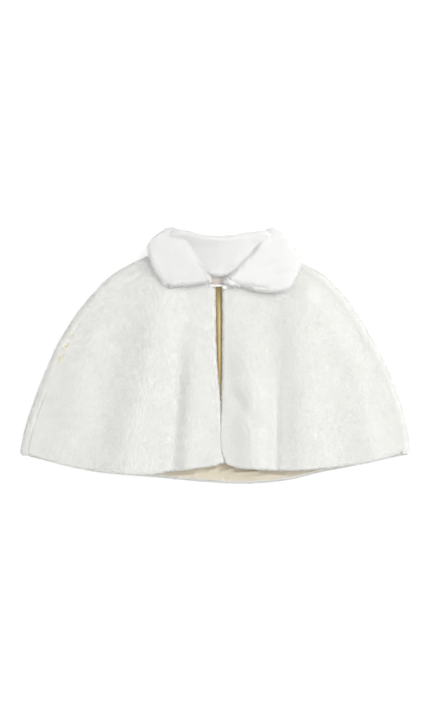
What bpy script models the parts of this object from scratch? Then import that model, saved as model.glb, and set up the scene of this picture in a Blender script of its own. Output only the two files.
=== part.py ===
"""Child's faux-fur cape with a flat round collar, laid out on its back.

+Z is up, +Y runs from the hem to the neck, and the origin lies under the middle of the cape on the
surface that it rests on. Left and right are the wearer's: the right front lies on the -X side.
Lengths below are millimetres, and the meshes are metres.
"""

import math
from collections import namedtuple

import bmesh
import bpy
import numpy as np
from mathutils import Vector

MM = 0.001

# Walls of cloth, from the surface upwards
FUR = 6.0  # knitted backing with its pile
LINING = 1.0
UPPER_COLLAR = 4.0
UNDER_COLLAR = 2.5
LABEL = 0.6
SEAM = 0.3  # clear space between pieces that are sewn together
AIR = 2.4  # between the lining of the back and that of the fronts

# Two lined layers lying on each other, and the fold that joins them at the side
LAID = 2 * (FUR + SEAM + LINING) + AIR
FOLD_RADIUS = (LAID - FUR) / 2  # of the middle of the wall
FRONT_LEVEL = LAID - FUR / 2
BACK_LEVEL = FUR / 2
SEAM_INSET = 11.0  # from the side's outline to the seam, which lies on the upper side
FLAT_INSET = LAID / 2  # from the side's outline to where the fold has become flat

# Numbers of faces along and across the panels
ROWS = 12
FRONT_COLUMNS = 20
FLAT_COLUMNS = 20
FOLD_COLUMNS = 5
COLLAR_COLUMNS = 54
COLLAR_ROWS = 8
HEM_MARGIN = 0.018  # last row's share of a panel's length, where the lining stops short
EDGE_MARGIN = 0.012  # first column's share of a front's width, at its open edge
SIDE_MARGIN = 0.03  # last column's share of a front's width, at its side seam

# Outline of both sides, from the neck points to the hem corners
Side = namedtuple("Side", "y right left")
SIDES = (
    Side(135.0, -46.0, 69.0),
    Side(117.0, -89.0, 96.0),
    Side(98.0, -124.0, 131.0),
    Side(76.0, -146.5, 153.5),
    Side(19.0, -187.0, 191.0),
    Side(-39.0, -212.5, 218.5),
    Side(-97.0, -231.5, 234.0),
    Side(-120.0, -236.0, 236.0),
)

# Edges of the panels between their corners, listed from the front edge or from the right side
Spot = namedtuple("Spot", "x y")
RIGHT_OPEN_EDGE = (Spot(1.2, 85.0), Spot(5.0, -30.0), Spot(8.2, -129.0))
LEFT_OPEN_EDGE = (Spot(8.9, 85.0), Spot(6.3, -40.0), Spot(8.9, -126.0))
RIGHT_NECK = (Spot(-13.0, 89.0), Spot(-24.0, 102.0), Spot(-34.0, 114.0))
LEFT_NECK = (Spot(27.0, 88.5), Spot(42.0, 101.5), Spot(55.0, 113.5))
BACK_NECK = (
    Spot(-32.0, 115.5),
    Spot(-20.0, 102.5),
    Spot(1.2, 90.8),
    Spot(32.0, 102.5),
    Spot(53.5, 116.0),
)
RIGHT_HEM = (
    Spot(0.0, -134.0),
    Spot(-18.0, -137.0),
    Spot(-50.0, -141.3),
    Spot(-85.0, -145.8),
    Spot(-121.0, -143.4),
    Spot(-179.0, -135.0),
)
LEFT_HEM = (
    Spot(13.0, -131.3),
    Spot(21.0, -134.6),
    Spot(49.0, -138.2),
    Spot(90.0, -140.2),
    Spot(131.0, -137.6),
    Spot(176.0, -132.6),
)
BACK_HEM = (
    Spot(-150.0, -140.0),
    Spot(-78.0, -147.0),
    Spot(-25.0, -152.0),
    Spot(32.0, -155.4),
    Spot(90.0, -150.6),
    Spot(128.0, -141.5),
    Spot(180.0, -131.5),
)

# Soft flutes of the fronts: where the crest runs, how wide its flanks are and how high it stands
Flute = namedtuple("Flute", "start top_x hem_x right_flank left_flank height")
RIGHT_FLUTES = (
    Flute(0.20, -120.0, -178.0, 26.0, 24.0, 4.0),
    Flute(0.15, -62.0, -86.0, 34.0, 22.0, 9.0),
    Flute(0.30, -24.0, -34.0, 13.0, 22.0, 7.0),
)
LEFT_FLUTES = (
    Flute(0.15, 48.0, 44.0, 20.0, 24.0, 8.0),
    Flute(0.12, 86.0, 100.0, 15.0, 34.0, 8.0),
    Flute(0.25, 132.0, 182.0, 26.0, 22.0, 3.5),
)
FLUTE_CLEAR_OF_SIDE = 0.82  # share of a front's width past which its flutes die away

# Sections of the collar from the right front's end round the back of the neck to the left's: its
# neck seam, the line of its roll seen from above with the height and roundness of the roll, and its
# outer edge. At the back of the neck it stands up and doesn't fall over.
Section = namedtuple(
    "Section", "neck_x neck_y neck_z roll_x roll_y roll_z rounding edge_x edge_y edge_z"
)
COLLAR = (
    Section(-0.6, 88.0, 21.0, 1.5, 88.5, 23.0, 1.5, -7.5, 85.4, 20.6),
    Section(-12.0, 92.5, 17.6, -9.0, 96.6, 30.0, 6.0, -28.8, 77.5, 20.6),
    Section(-20.5, 105.5, 17.6, -16.8, 111.0, 33.0, 8.0, -54.0, 75.6, 20.6),
    Section(-27.5, 117.0, 17.6, -22.8, 123.0, 33.0, 8.0, -70.8, 96.6, 20.6),
    Section(-33.0, 126.0, 17.3, -28.5, 132.5, 32.0, 7.0, -81.0, 117.0, 20.0),
    Section(-37.5, 133.0, 16.5, -34.5, 138.5, 30.0, 6.0, -78.0, 136.0, 19.0),
    Section(-42.5, 139.0, 10.5, -44.0, 141.5, 18.0, 3.0, -64.0, 150.0, 24.0),
    Section(-33.5, 127.5, 4.4, -33.5, 134.5, 14.0, 3.0, -45.0, 151.5, 27.0),
    Section(-18.0, 107.0, 4.2, -20.0, 122.0, 17.5, 3.5, -24.0, 146.5, 28.0),
    Section(1.2, 93.6, 3.7, 2.4, 112.0, 14.7, 3.0, 4.8, 142.5, 25.0),
    Section(30.0, 107.0, 4.2, 33.0, 122.0, 17.5, 3.5, 38.0, 146.5, 28.0),
    Section(57.0, 127.5, 4.4, 56.5, 134.5, 14.0, 3.0, 63.0, 151.0, 27.0),
    Section(66.0, 139.0, 10.5, 67.5, 141.0, 18.0, 3.0, 79.0, 147.5, 24.0),
    Section(61.0, 133.0, 16.5, 56.0, 137.5, 30.0, 6.0, 92.0, 132.5, 19.0),
    Section(56.0, 126.0, 17.3, 49.0, 131.5, 32.0, 7.0, 103.2, 114.5, 20.0),
    Section(47.5, 117.0, 17.6, 39.6, 120.6, 33.0, 8.0, 100.8, 95.4, 20.6),
    Section(38.0, 105.5, 17.6, 30.6, 108.6, 33.0, 8.0, 87.6, 73.2, 20.6),
    Section(25.5, 93.5, 17.6, 22.2, 96.6, 30.0, 6.0, 51.6, 71.5, 20.6),
    Section(12.2, 88.0, 21.0, 10.5, 88.5, 23.0, 1.5, 20.0, 85.2, 20.6),
)
COLLAR_PLUMP = 0.05  # how far the fall swells, as a share of its length

# Soft bends where the collar goes from falling over to standing up
TURN_SECTIONS = (6, 12)  # numbers of the sections in the middle of the bends
TURN_REACH = 2.2  # sections to either side
TURN_EDGE = 0.6  # share across the collar past which its outer edge keeps its shape
TURN_ROUNDS = 80  # of smoothing

# Label on the lining at the back of the neck
LABEL_WIDTH = 30.0
LABEL_LENGTH = 14.0
LABEL_MIDDLE = Spot(0.0, 84.0)

# Hook on the left front and thread eye on the right front, at the top of the open edge
CLASP_Y = 80.0
CLASP_GAP = 0.3  # above the fur
HOOK_RADIUS = 0.7  # of its wire
HOOK_BEND = 1.9
HOOK_HEEL_X = 19.0
HOOK_TOE_X = 3.4
HOOK_TIP_X = 8.0
EYE_RADIUS = 0.6  # of its thread
EYE_ROOT_X = -7.0
EYE_BAR_X = 5.2
EYE_HALF_WIDTH = 3.0
EYE_BEND = 1.6


def smooth(spots, even=False):
    """A curve through the spots by its share of their length, or by their numbers where even."""
    spots = np.array(spots, float)
    steps = np.ones(len(spots) - 1) if even else np.linalg.norm(np.diff(spots, axis=0), axis=1)
    knots = np.concatenate([[0.0], np.cumsum(steps)]) / steps.sum()
    slopes = np.gradient(spots, knots, axis=0)

    def at(share):
        i = int(np.clip(np.searchsorted(knots, share) - 1, 0, len(knots) - 2))
        span = knots[i + 1] - knots[i]
        t = (share - knots[i]) / span
        ends = (2 * t**3 - 3 * t**2 + 1) * spots[i] + (3 * t**2 - 2 * t**3) * spots[i + 1]
        turn = (t**3 - 2 * t**2 + t) * slopes[i] + (t**3 - t**2) * slopes[i + 1]
        return ends + span * turn

    return at


def eased(low, high, value):
    """0 below low, 1 above high, and a smooth rise between them."""
    t = min(max((value - low) / (high - low), 0.0), 1.0)
    return t * t * (3 - 2 * t)


def shares(count, first=None, last=None):
    """count + 1 shares from 0 to 1, with a narrow first or last step where one is given."""
    start = 0.0 if first is None else first
    end = 1.0 if last is None else 1.0 - last
    inner = count - (first is not None) - (last is not None)
    steps = list(np.linspace(start, end, inner + 1))
    return ([0.0] if first is not None else []) + steps + ([1.0] if last is not None else [])


def patch(neck, hem, first, last):
    """The surface between four edges, by its shares along (u) and across (v)."""

    def at(u, v):
        along = (1 - v) * first(u) + v * last(u)
        across = (1 - u) * neck(v) + u * hem(v)
        top = (1 - v) * neck(0) + v * neck(1)
        bottom = (1 - v) * hem(0) + v * hem(1)
        return along + across - (1 - u) * top - u * bottom

    return at


SIDE_CURVES = {
    "right": smooth([(row.right, row.y) for row in SIDES]),
    "left": smooth([(row.left, row.y) for row in SIDES]),
}


def side_point(side, u, inset):
    """A point this far in from the side's outline."""
    curve = SIDE_CURVES[side]
    step = 0.01
    along = curve(min(u + step, 1.0)) - curve(max(u - step, 0.0))
    along /= np.linalg.norm(along)
    inward = np.array([-along[1], along[0]]) if side == "right" else np.array([along[1], -along[0]])
    return curve(u) + inset * inward


def side_edge(side, inset):
    return lambda u: side_point(side, u, inset)


def front_surface(side, open_edge, neck, hem, flutes):
    """The middle of a front's wall, from its open edge (v = 0) to its side seam (v = 1)."""
    seam = side_edge(side, SEAM_INSET + SEAM / 2)
    plan = patch(
        smooth([open_edge[0], *neck, seam(0)]),
        smooth([open_edge[-1], *hem, seam(1)]),
        smooth(open_edge),
        seam,
    )

    def at(u, v):
        x, y = plan(u, v)
        dying = 1 - eased(FLUTE_CLEAR_OF_SIDE, 1.0, v)
        lift = 0.0
        for flute in flutes:
            offset = x - (flute.top_x + u * (flute.hem_x - flute.top_x))
            flank = flute.right_flank if offset < 0 else flute.left_flank
            lift += flute.height * eased(flute.start, 1.0, u) * math.exp(-((offset / flank) ** 2))
        return x, y, FRONT_LEVEL + dying * lift

    return at


def back_surface():
    """The middle of the back's wall by row share and column: fold, flat, fold."""
    right = side_edge("right", FLAT_INSET)
    left = side_edge("left", FLAT_INSET)
    plan = patch(
        smooth([right(0), *BACK_NECK, left(0)]),
        smooth([right(1), *BACK_HEM, left(1)]),
        right,
        left,
    )

    def fold(side, u, step):
        """step 0 is the seam on the upper side, and FOLD_COLUMNS is where the wall is flat below."""
        if step == 0:
            return *side_point(side, u, SEAM_INSET - SEAM / 2), FRONT_LEVEL
        turn = math.pi * (0.5 - (step - 1) / (FOLD_COLUMNS - 1))
        x, y = side_point(side, u, FLAT_INSET - FOLD_RADIUS * math.cos(turn))
        return x, y, LAID / 2 + FOLD_RADIUS * math.sin(turn)

    def at(u, column):
        if column < FOLD_COLUMNS:
            return fold("right", u, column)
        if column > FOLD_COLUMNS + FLAT_COLUMNS:
            return fold("left", u, 2 * FOLD_COLUMNS + FLAT_COLUMNS - column)
        x, y = plan(u, (column - FOLD_COLUMNS) / FLAT_COLUMNS)
        return x, y, BACK_LEVEL

    return at


def collar_section(row):
    """Five points across the collar: neck seam, inside of the roll, its crest, the fall, the edge."""
    neck = np.array([row.neck_x, row.neck_y, row.neck_z])
    roll = np.array([row.roll_x, row.roll_y, row.roll_z])
    edge = np.array([row.edge_x, row.edge_y, row.edge_z])
    outward = (edge - roll) * (1, 1, 0)
    outward /= np.linalg.norm(outward)
    inside = roll + UPPER_COLLAR * outward - (0, 0, row.rounding)
    crest = roll + (UPPER_COLLAR + row.rounding) * outward
    swell = COLLAR_PLUMP * np.linalg.norm(edge - crest)
    fall = (crest + edge) / 2 + (0, 0, swell)
    return neck, inside, crest, fall, edge


def collar_surface():
    """The sheet between upper and under collar, by its shares round the neck and across."""
    sections = [collar_section(row) for row in COLLAR]
    lines = [smooth(points, even=True) for points in zip(*sections)]

    def at(round_neck, across):
        return smooth([line(round_neck) for line in lines])(across)

    return at


def grid_mesh(name, columns, rows, place, flip=False):
    """A mesh of rows by columns faces, with each point where place(row, column) puts it."""
    mesh = bmesh.new()
    bmesh.ops.create_grid(mesh, x_segments=columns, y_segments=rows, size=0.5)
    for vertex in mesh.verts:
        row = round((vertex.co.y + 0.5) * rows)
        column = round((vertex.co.x + 0.5) * columns)
        vertex.co = Vector(place(row, column)) * MM
    if flip:
        bmesh.ops.reverse_faces(mesh, faces=mesh.faces)
    data = bpy.data.meshes.new(name)
    mesh.to_mesh(data)
    mesh.free()
    return data


def add_object(name, data, material):
    made = bpy.data.objects.new(name, data)
    made.data.materials.append(material)
    bpy.data.collections[COLLECTION].objects.link(made)
    return made


def add_cloth(name, data, material, low, high):
    """A wall of cloth between two distances from its mesh, along the mesh's normals."""
    cloth = add_object(name, data, material)
    wall = cloth.modifiers.new("Wall", "SOLIDIFY")
    wall.thickness = (high - low) * MM
    wall.offset = (high + low) / (high - low)
    data.shade_smooth()
    return cloth


def add_material(name, colour, roughness, metallic=0.0):
    material = bpy.data.materials.new(name)
    material.use_nodes = True
    shader = material.node_tree.nodes["Principled BSDF"]
    shader.inputs["Base Color"].default_value = (*colour, 1.0)
    shader.inputs["Roughness"].default_value = roughness
    shader.inputs["Metallic"].default_value = metallic
    return material


def build_front(side, surface, fur, lining):
    """One front of fur cloth, and its lining on the points of the fur, moved in."""
    along = shares(ROWS, last=HEM_MARGIN)
    across = shares(FRONT_COLUMNS, first=EDGE_MARGIN, last=SIDE_MARGIN)
    flip = side == "left"
    name = f"front_{side}"
    panel = grid_mesh(
        name, FRONT_COLUMNS, ROWS, lambda row, column: surface(along[row], across[column]), flip
    )
    add_cloth(name, panel, fur, -FUR / 2, FUR / 2)
    name = f"lining_front_{side}"
    inner = grid_mesh(
        name,
        FRONT_COLUMNS - 2,
        ROWS - 1,
        lambda row, column: surface(along[row], across[column + 1]),
        flip,
    )
    add_cloth(name, inner, lining, -FUR / 2 - SEAM - LINING, -FUR / 2 - SEAM)


def build_back(fur, lining):
    """The back of fur cloth with both side folds, and its lining on the flat between them."""
    surface = back_surface()
    along = shares(ROWS, last=HEM_MARGIN)
    columns = FLAT_COLUMNS + 2 * FOLD_COLUMNS
    panel = grid_mesh("back", columns, ROWS, lambda row, column: surface(along[row], column))
    add_cloth("back", panel, fur, -FUR / 2, FUR / 2)
    inner = grid_mesh(
        "lining_back",
        FLAT_COLUMNS,
        ROWS - 1,
        lambda row, column: surface(along[row], column + FOLD_COLUMNS),
    )
    add_cloth("lining_back", inner, lining, -FUR / 2 - SEAM - LINING, -FUR / 2 - SEAM)


def soften_turns(cloth):
    """Smooth the collar's sheet round its turns, before its wall is made."""
    turns = cloth.vertex_groups.new(name="turns")
    for vertex in cloth.data.vertices:
        row, column = divmod(vertex.index, COLLAR_COLUMNS + 1)
        section = column / COLLAR_COLUMNS * (len(COLLAR) - 1)
        away = min(abs(section - turn) for turn in TURN_SECTIONS)
        inner = 1 - eased(TURN_EDGE, 1.0, row / COLLAR_ROWS)
        weight = inner * (1 - eased(TURN_REACH / 2, TURN_REACH, away))
        if weight > 0:
            turns.add([vertex.index], weight, "REPLACE")
    bend = cloth.modifiers.new("Bend", "SMOOTH")
    bend.vertex_group = turns.name
    bend.factor = 0.5
    bend.iterations = TURN_ROUNDS
    cloth.modifiers.move(len(cloth.modifiers) - 1, 0)


def build_collar(fur):
    """Upper and under collar, on the two sides of one sheet."""
    surface = collar_surface()

    def place(row, column):
        return surface(column / COLLAR_COLUMNS, row / COLLAR_ROWS)

    walls = {
        "collar_upper": (SEAM / 2, SEAM / 2 + UPPER_COLLAR),
        "collar_under": (-SEAM / 2 - UNDER_COLLAR, -SEAM / 2),
    }
    for name, (low, high) in walls.items():
        sheet = grid_mesh(name, COLLAR_COLUMNS, COLLAR_ROWS, place)
        soften_turns(add_cloth(name, sheet, fur, low, high))


def build_label(material):
    low = FUR + SEAM + LINING + SEAM
    bpy.ops.mesh.primitive_cube_add(size=1.0)
    label = bpy.context.object
    label.name = "label"
    label.data.transform(
        np.diag([LABEL_WIDTH * MM, LABEL_LENGTH * MM, LABEL * MM, 1.0]).tolist()
    )
    label.location = Vector((*LABEL_MIDDLE, low + LABEL / 2)) * MM
    label.data.materials.append(material)
    for holder in list(label.users_collection):
        holder.objects.unlink(label)
    bpy.data.collections[COLLECTION].objects.link(label)


def add_wire(name, path, radius, material):
    """A round wire or thread with closed ends."""
    curve = bpy.data.curves.new(name, "CURVE")
    curve.dimensions = "3D"
    curve.bevel_depth = radius * MM
    curve.bevel_resolution = 2
    curve.use_fill_caps = True
    line = curve.splines.new("POLY")
    line.points.add(len(path) - 1)
    for point, place in zip(line.points, path):
        point.co = (*(Vector(place) * MM), 1.0)
    return add_object(name, curve, material)


def arc(middle, radius, start, end, count=6):
    """Points of an arc in a plane, from one angle in degrees to another."""
    angles = np.radians(np.linspace(start, end, count))
    return [(middle[0] + radius * math.cos(a), middle[1] + radius * math.sin(a)) for a in angles]


def build_clasp(thread):
    """A hook whose toe turns up and back over the bar of the eye."""
    shank = LAID + CLASP_GAP + HOOK_RADIUS
    toe = arc((HOOK_TOE_X, shank + HOOK_BEND), HOOK_BEND, 270, 90)
    profile = [(HOOK_HEEL_X, shank), *toe, (HOOK_TIP_X, shank + 2 * HOOK_BEND)]
    add_wire("hook", [(x, CLASP_Y, z) for x, z in profile], HOOK_RADIUS, thread)

    root = LAID + CLASP_GAP + EYE_RADIUS
    bar = shank + HOOK_BEND
    middle_x = EYE_BAR_X - EYE_BEND
    far = arc((middle_x, CLASP_Y + EYE_HALF_WIDTH - EYE_BEND), EYE_BEND, 90, 0)
    near = arc((middle_x, CLASP_Y - EYE_HALF_WIDTH + EYE_BEND), EYE_BEND, 0, -90)
    ends = [(EYE_ROOT_X, CLASP_Y + EYE_HALF_WIDTH), (EYE_ROOT_X, CLASP_Y - EYE_HALF_WIDTH)]
    loop = [
        (*ends[0], root),
        *[(x, y, bar) for x, y in far + near],
        (*ends[1], root),
    ]
    add_wire("eye", loop, EYE_RADIUS, thread)


COLLECTION = "cape"


def main():
    for old in list(bpy.data.objects):
        bpy.data.objects.remove(old)
    bpy.context.scene.collection.children.link(bpy.data.collections.new(COLLECTION))
    fur = add_material("white_fur", (0.80, 0.81, 0.78), 0.9)
    satin = add_material("champagne_satin", (0.72, 0.60, 0.40), 0.4)
    tape = add_material("blush_tape", (0.72, 0.58, 0.52), 0.7)
    thread = add_material("white_thread", (0.85, 0.85, 0.83), 0.6)

    build_back(fur, satin)
    right = front_surface("right", RIGHT_OPEN_EDGE, RIGHT_NECK, RIGHT_HEM, RIGHT_FLUTES)
    left = front_surface("left", LEFT_OPEN_EDGE, LEFT_NECK, LEFT_HEM, LEFT_FLUTES)
    build_front("right", right, fur, satin)
    build_front("left", left, fur, satin)
    build_collar(fur)
    build_label(tape)
    build_clasp(thread)


main()
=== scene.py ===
"""Looks of a child's faux-fur cape, laid flat on its back: plush fur, satin lining, label and closure.

Lengths are millimetres in the part's frame: +X to the wearer's left, +Y to the neck, +Z up. Right and
left are the wearer's.
"""

import math
from collections import namedtuple

import bmesh
import bpy
import numpy as np
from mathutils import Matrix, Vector


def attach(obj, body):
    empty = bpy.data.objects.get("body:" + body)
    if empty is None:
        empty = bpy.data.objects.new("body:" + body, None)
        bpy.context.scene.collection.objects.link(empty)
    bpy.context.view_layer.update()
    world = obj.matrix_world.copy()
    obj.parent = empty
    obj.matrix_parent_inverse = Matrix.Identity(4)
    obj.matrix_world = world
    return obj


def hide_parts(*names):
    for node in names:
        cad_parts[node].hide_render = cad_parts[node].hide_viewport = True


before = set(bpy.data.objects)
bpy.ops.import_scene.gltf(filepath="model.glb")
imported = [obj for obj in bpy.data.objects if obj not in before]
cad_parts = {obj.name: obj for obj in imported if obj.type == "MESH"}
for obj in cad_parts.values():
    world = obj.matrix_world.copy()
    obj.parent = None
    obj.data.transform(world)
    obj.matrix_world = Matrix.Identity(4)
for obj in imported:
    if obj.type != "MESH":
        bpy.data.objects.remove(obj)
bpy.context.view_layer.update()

MM = 0.001

# Small unevenness of the cloth: how far it reaches either way, how long its patches are, and their draw
Uneven = namedtuple("Uneven", "height size seed")
FRONT_UNEVEN = Uneven(0.4, 30.0, 5)
FRONT_UNEVEN_DRAWN = 0.5  # its patches are longer from neck to hem by the inverse of this
PARTED_UNEVEN = Uneven(1.0, 6.0, 7)
LINING_UNEVEN = Uneven(0.25, 18.0, 9)
FALL_UNEVEN = Uneven(0.5, 22.0, 11)
BAND_UNEVEN = Uneven(0.12, 12.0, 13)
WAVES = 14  # that make up an unevenness
WAVE_STRETCH = (0.6, 1.7)
WAVES_MOST = 5.0  # about what they add up to at most

# Walls of cloth, as the part has them
FUR = 6.0
LINING = 1.0
SEAM = 0.3
AIR = 2.4
LAID = 2 * (FUR + SEAM + LINING) + AIR
FOLD_RADIUS = (LAID - FUR) / 2
FRONT_LEVEL = LAID - FUR / 2
BACK_LEVEL = FUR / 2
SEAM_INSET = 11.0
FLAT_INSET = LAID / 2

# Body of the plush under its longest hairs
PLUSH_TOP = 2.2  # above the middle of the wall
PLUSH_ROUND = 3.2  # radius of its edges
OPEN_ROUND = {"right": 2.6, "left": 4.0}  # radius of the front edges
SEAM_ROUND = 2.4  # radius of the edges beside a side seam
EDGE_INSET = 1.8  # from the front edge, which the hairs reach
HEM_INSET = {"front": 3.2, "back": 1.6}  # from the hem, which the hairs reach along their nap
CORNER = 7.0  # radius of the hem's outer corners
FOLD_TOP = 1.0  # the side folds' plush above the middle of the wall
HIDDEN_INSET = 6.0  # how far in from a fall's edge the front below it has no pile

# How deep the side seams part the plush, from the neck to the hem; the left one does not show
SEAM_DEPTH = {
    "right": ((0.0, 0.0), (0.35, 0.0), (0.45, 0.3), (0.64, 0.3), (0.72, 0.0), (0.8, 0.6), (1.0, 0.6)),
    "left": ((0.0, 0.0), (1.0, 0.0)),
}
SEAM_BLEND = 24.0  # over which the plush comes down to the height that it has on the side folds
PARTED = (0.42, 0.68)  # part of the right seam whose backing shows in flecks
PARTED_FADE = 0.1  # over which the flecks begin and end
PARTED_WIDTH = 3.0
PARTED_SHOWN = (-0.4, 0.5)  # unevenness from which the backing begins to show, and shows in full
PARTED_THIN = 0.5  # share of the pile that is missing where it does

# Pile: the lean is in radians from upright, the spread is of its direction, and a tone of 1 is white
Hair = namedtuple("Hair", "length width lean spread tone")
# Painted light: the collar's hairs get a whiter tone than the body's, though they are the same fur,
# standing in for the brighter light on the collar
BODY_HAIR = Hair(length=2.6, width=0.8, lean=1.0, spread=1.0, tone=0.2)
COLLAR_HAIR = Hair(length=3.8, width=0.72, lean=0.95, spread=1.0, tone=1.1)
BODY_NAP_CENTRE = (0.0, 260.0)  # from which the nap of the body spreads
FRONT_TUFTS = 62000
BACK_TUFTS = 26000
COLLAR_TUFTS = 58000
HAIR_LENGTHS = (0.7, 1.15)  # shares of the usual length
HAIR_WIDTHS = (0.8, 1.2)
HAIR_STRAY = 0.22  # how far each hair goes its own way
HAIR_SUNK = 0.35  # share of its width that its foot is below the plush
HAIR_ROUND = 0.1  # how much its foot is shaded as a round one
HAIR_CLEAR = 0.2  # least height over the floor
BENT = 0.95  # least cosine to the face at which the smooth normal is used
TONE_PATCH = 0.04
TONE_PATCH_SIZE = 16.0
TONE_PATCH_DRAWN = 0.6
TONE_SPREAD = 0.08
TONE_LOW = 0.02  # tone of the darkest white hair, above the gold
TONE_HIGH = 0.98
PARTED_GOLD = 0.55  # how much backing turns every hair there to its gold
PARTED_FIRST_GOLD = 0.3  # share of that which turns the first of them
ROOT_PLACE = 0.02  # places of a hair's root and tip along its colours
TIP_PLACE = 0.98

# Outline of both sides, from the neck points to the hem corners
Side = namedtuple("Side", "y right left")
SIDES = (
    Side(135.0, -46.0, 69.0),
    Side(117.0, -89.0, 96.0),
    Side(98.0, -124.0, 131.0),
    Side(76.0, -146.5, 153.5),
    Side(19.0, -187.0, 191.0),
    Side(-39.0, -212.5, 218.5),
    Side(-97.0, -231.5, 234.0),
    Side(-120.0, -236.0, 236.0),
)

# A place in the plan, and the panels' edges as such places from the front edge or the right side
Spot = namedtuple("Spot", "x y")
OPEN_EDGE = {
    "right": ((0.0, 85.0), (3.6, -18.0), (7.6, -58.0), (10.4, -112.0), (13.4, -130.0)),
    "left": ((9.0, 85.0), (8.0, -18.0), (6.8, -58.0), (6.4, -114.0), (12.6, -128.6)),
}
NECK = {
    "right": ((-13.0, 89.0), (-24.0, 102.0), (-34.0, 114.0)),
    "left": ((27.0, 88.5), (42.0, 101.5), (55.0, 113.5)),
}
HEM = {
    "right": (
        (0.0, -134.0), (-18.0, -137.0), (-50.0, -141.3), (-85.0, -145.8), (-121.0, -143.4),
        (-179.0, -135.0),
    ),
    "left": (
        (17.4, -132.8), (25.0, -135.6), (49.0, -138.2), (90.0, -140.2), (131.0, -137.6),
        (176.0, -132.6),
    ),
}
BACK_NECK = (
    (-32.0, 115.5), (-20.0, 102.5), (1.2, 90.8), (32.0, 102.5), (53.5, 116.0),
)
BACK_HEM = (
    (-150.0, -140.0), (-78.0, -147.0), (-25.0, -152.0), (32.0, -155.4), (90.0, -150.6),
    (128.0, -141.5), (180.0, -131.5),
)

# Creases of the fronts and of the back's lining: ridges, or valleys where the height is below 0.
# The rise is the share of its length over which a crease grows from its first end.
Crease = namedtuple("Crease", "x y to_x to_y width height rise")
FRONT_CREASES = {
    "right": (
        Crease(-38.0, 56.0, -48.0, -143.0, 8.0, -2.8, 0.5),
        Crease(-38.0, 54.0, -8.0, 28.0, 7.0, 1.0, 0.5),
        Crease(-150.0, -60.0, -120.0, -110.0, 12.0, -0.8, 0.5),
    ),
    "left": (
        Crease(76.0, 10.0, 74.0, -138.0, 4.0, -1.8, 0.7),
        Crease(14.0, -32.0, 45.0, -78.0, 9.0, -2.0, 0.5),
        Crease(124.0, 20.0, 166.0, -46.0, 13.0, -1.0, 0.5),
    ),
}

# Soft flutes of the fronts: where the crest runs, how wide its flanks are and how high it stands
Flute = namedtuple("Flute", "start full top_x hem_x right_flank left_flank height")
FLUTES = {
    "right": (
        Flute(0.05, 0.6, -130.0, -184.0, 26.0, 28.0, 3.2),
        Flute(0.00, 0.4, -46.0, -112.0, 28.0, 28.0, 12.0),
        Flute(0.00, 0.6, -14.0, -34.0, 13.0, 24.0, 4.4),
    ),
    "left": (
        Flute(0.05, 0.7, 34.0, 46.0, 19.0, 22.0, 8.0),
        Flute(0.00, 0.5, 96.0, 106.0, 21.0, 38.0, 7.0),
        Flute(0.10, 0.8, 136.0, 186.0, 28.0, 22.0, 3.5),
    ),
}
FLUTE_CLEAR_OF_SIDE = 0.82  # share of the width from which they die away to the side seam

# Falls of the collar: their outer edges from the front end round to the top, then their rolls back down
FALL_EDGE = {
    "right": (
        (-3.0, 91.2), (-7.2, 86.6), (-18.0, 84.4), (-30.0, 82.2), (-42.0, 81.2), (-54.5, 80.2),
        (-61.4, 83.0), (-69.4, 94.2), (-75.4, 105.0), (-78.8, 114.6), (-80.8, 124.2),
        (-81.0, 131.4), (-76.6, 138.6), (-66.0, 148.2), (-58.8, 153.4), (-51.6, 154.8),
        (-44.6, 152.8),
    ),
    "left": (
        (9.8, 92.2), (8.8, 87.6), (12.6, 84.2), (20.0, 81.4), (30.0, 81.6), (42.0, 78.2),
        (54.0, 75.6), (66.0, 74.4), (78.0, 74.8), (87.6, 78.6), (93.6, 86.4), (98.4, 95.4),
        (102.0, 105.0), (103.6, 114.6), (100.2, 124.2), (90.6, 133.8), (83.4, 143.4), (77.4, 150.6),
        (71.4, 154.0), (64.2, 153.2),
    ),
}
ROLL = {
    "right": (
        (-37.2, 150.0), (-32.4, 143.4), (-28.2, 135.0), (-23.4, 124.8), (-17.4, 113.4),
        (-10.8, 103.2), (-5.4, 96.0),
    ),
    "left": (
        (57.6, 149.4), (54.6, 142.8), (49.2, 133.8), (42.4, 124.2), (33.6, 114.6), (24.4, 105.0),
        (15.6, 96.8),
    ),
}

# Grooves in the falls, where upper and under collar meet or the edge has curled
Groove = namedtuple("Groove", "width depth line")
GROOVES = {
    "right": Groove(
        width=1.3,
        depth=3.6,
        line=((-75.6, 116.0), (-71.0, 104.0), (-65.0, 95.0), (-58.0, 87.2), (-50.0, 84.6), (-36.0, 85.0)),
    ),
    "left": Groove(
        width=1.7,
        depth=3.0,
        line=((16.8, 91.2), (25.2, 87.6), (34.8, 85.2), (48.0, 83.0), (60.0, 81.6)),
    ),
}
FALL_MIDDLE = {"right": Spot(-46.0, 116.0), "left": Spot(62.0, 112.0)}
FALL_INSET = 2.4  # of the plush body, from the outline its hairs reach
GROOVE_BARE = 0.75  # share of the pile that is missing in a groove
LINE_STEPS = 60  # along a roll or a groove when distances to it are taken
FALL_AROUND = 220  # points round a fall
FALL_RINGS = 46
TRACE_STEPS = 2000  # along the outline, which overlaps itself
TRACE_ENDS = 700  # of these at either end, among which the outline's first spot is
FALL_BASE = 18.6
FALL_TOP_DROP = 5.0  # how much lower the base is at the top
FALL_TOP = (132.0, 155.0)
FALL_EDGE_HEIGHT = 8.0
FALL_ROLL_HEIGHT = {"right": -1.4, "left": -1.6}  # what the roll adds to that, so it is lower
FALL_ROLL_REACH = 30.0  # how far that reaches over the fall
FALL_ROLL_STEEP = 1.5  # power by which it dies away
FALL_FRONT_END = (88.0, 104.0)
FALL_FRONT_SHARE = 0.35  # of the roll's difference in height at the front end
FALL_EDGE_ROUND = 2.4
FALL_ROLL_ROUND = 2.6  # what the roll adds to that
ROLL_SKIRT = 8.0  # how far the inner side of the roll hangs down
SKIRT_REACH = 7.0
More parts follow.
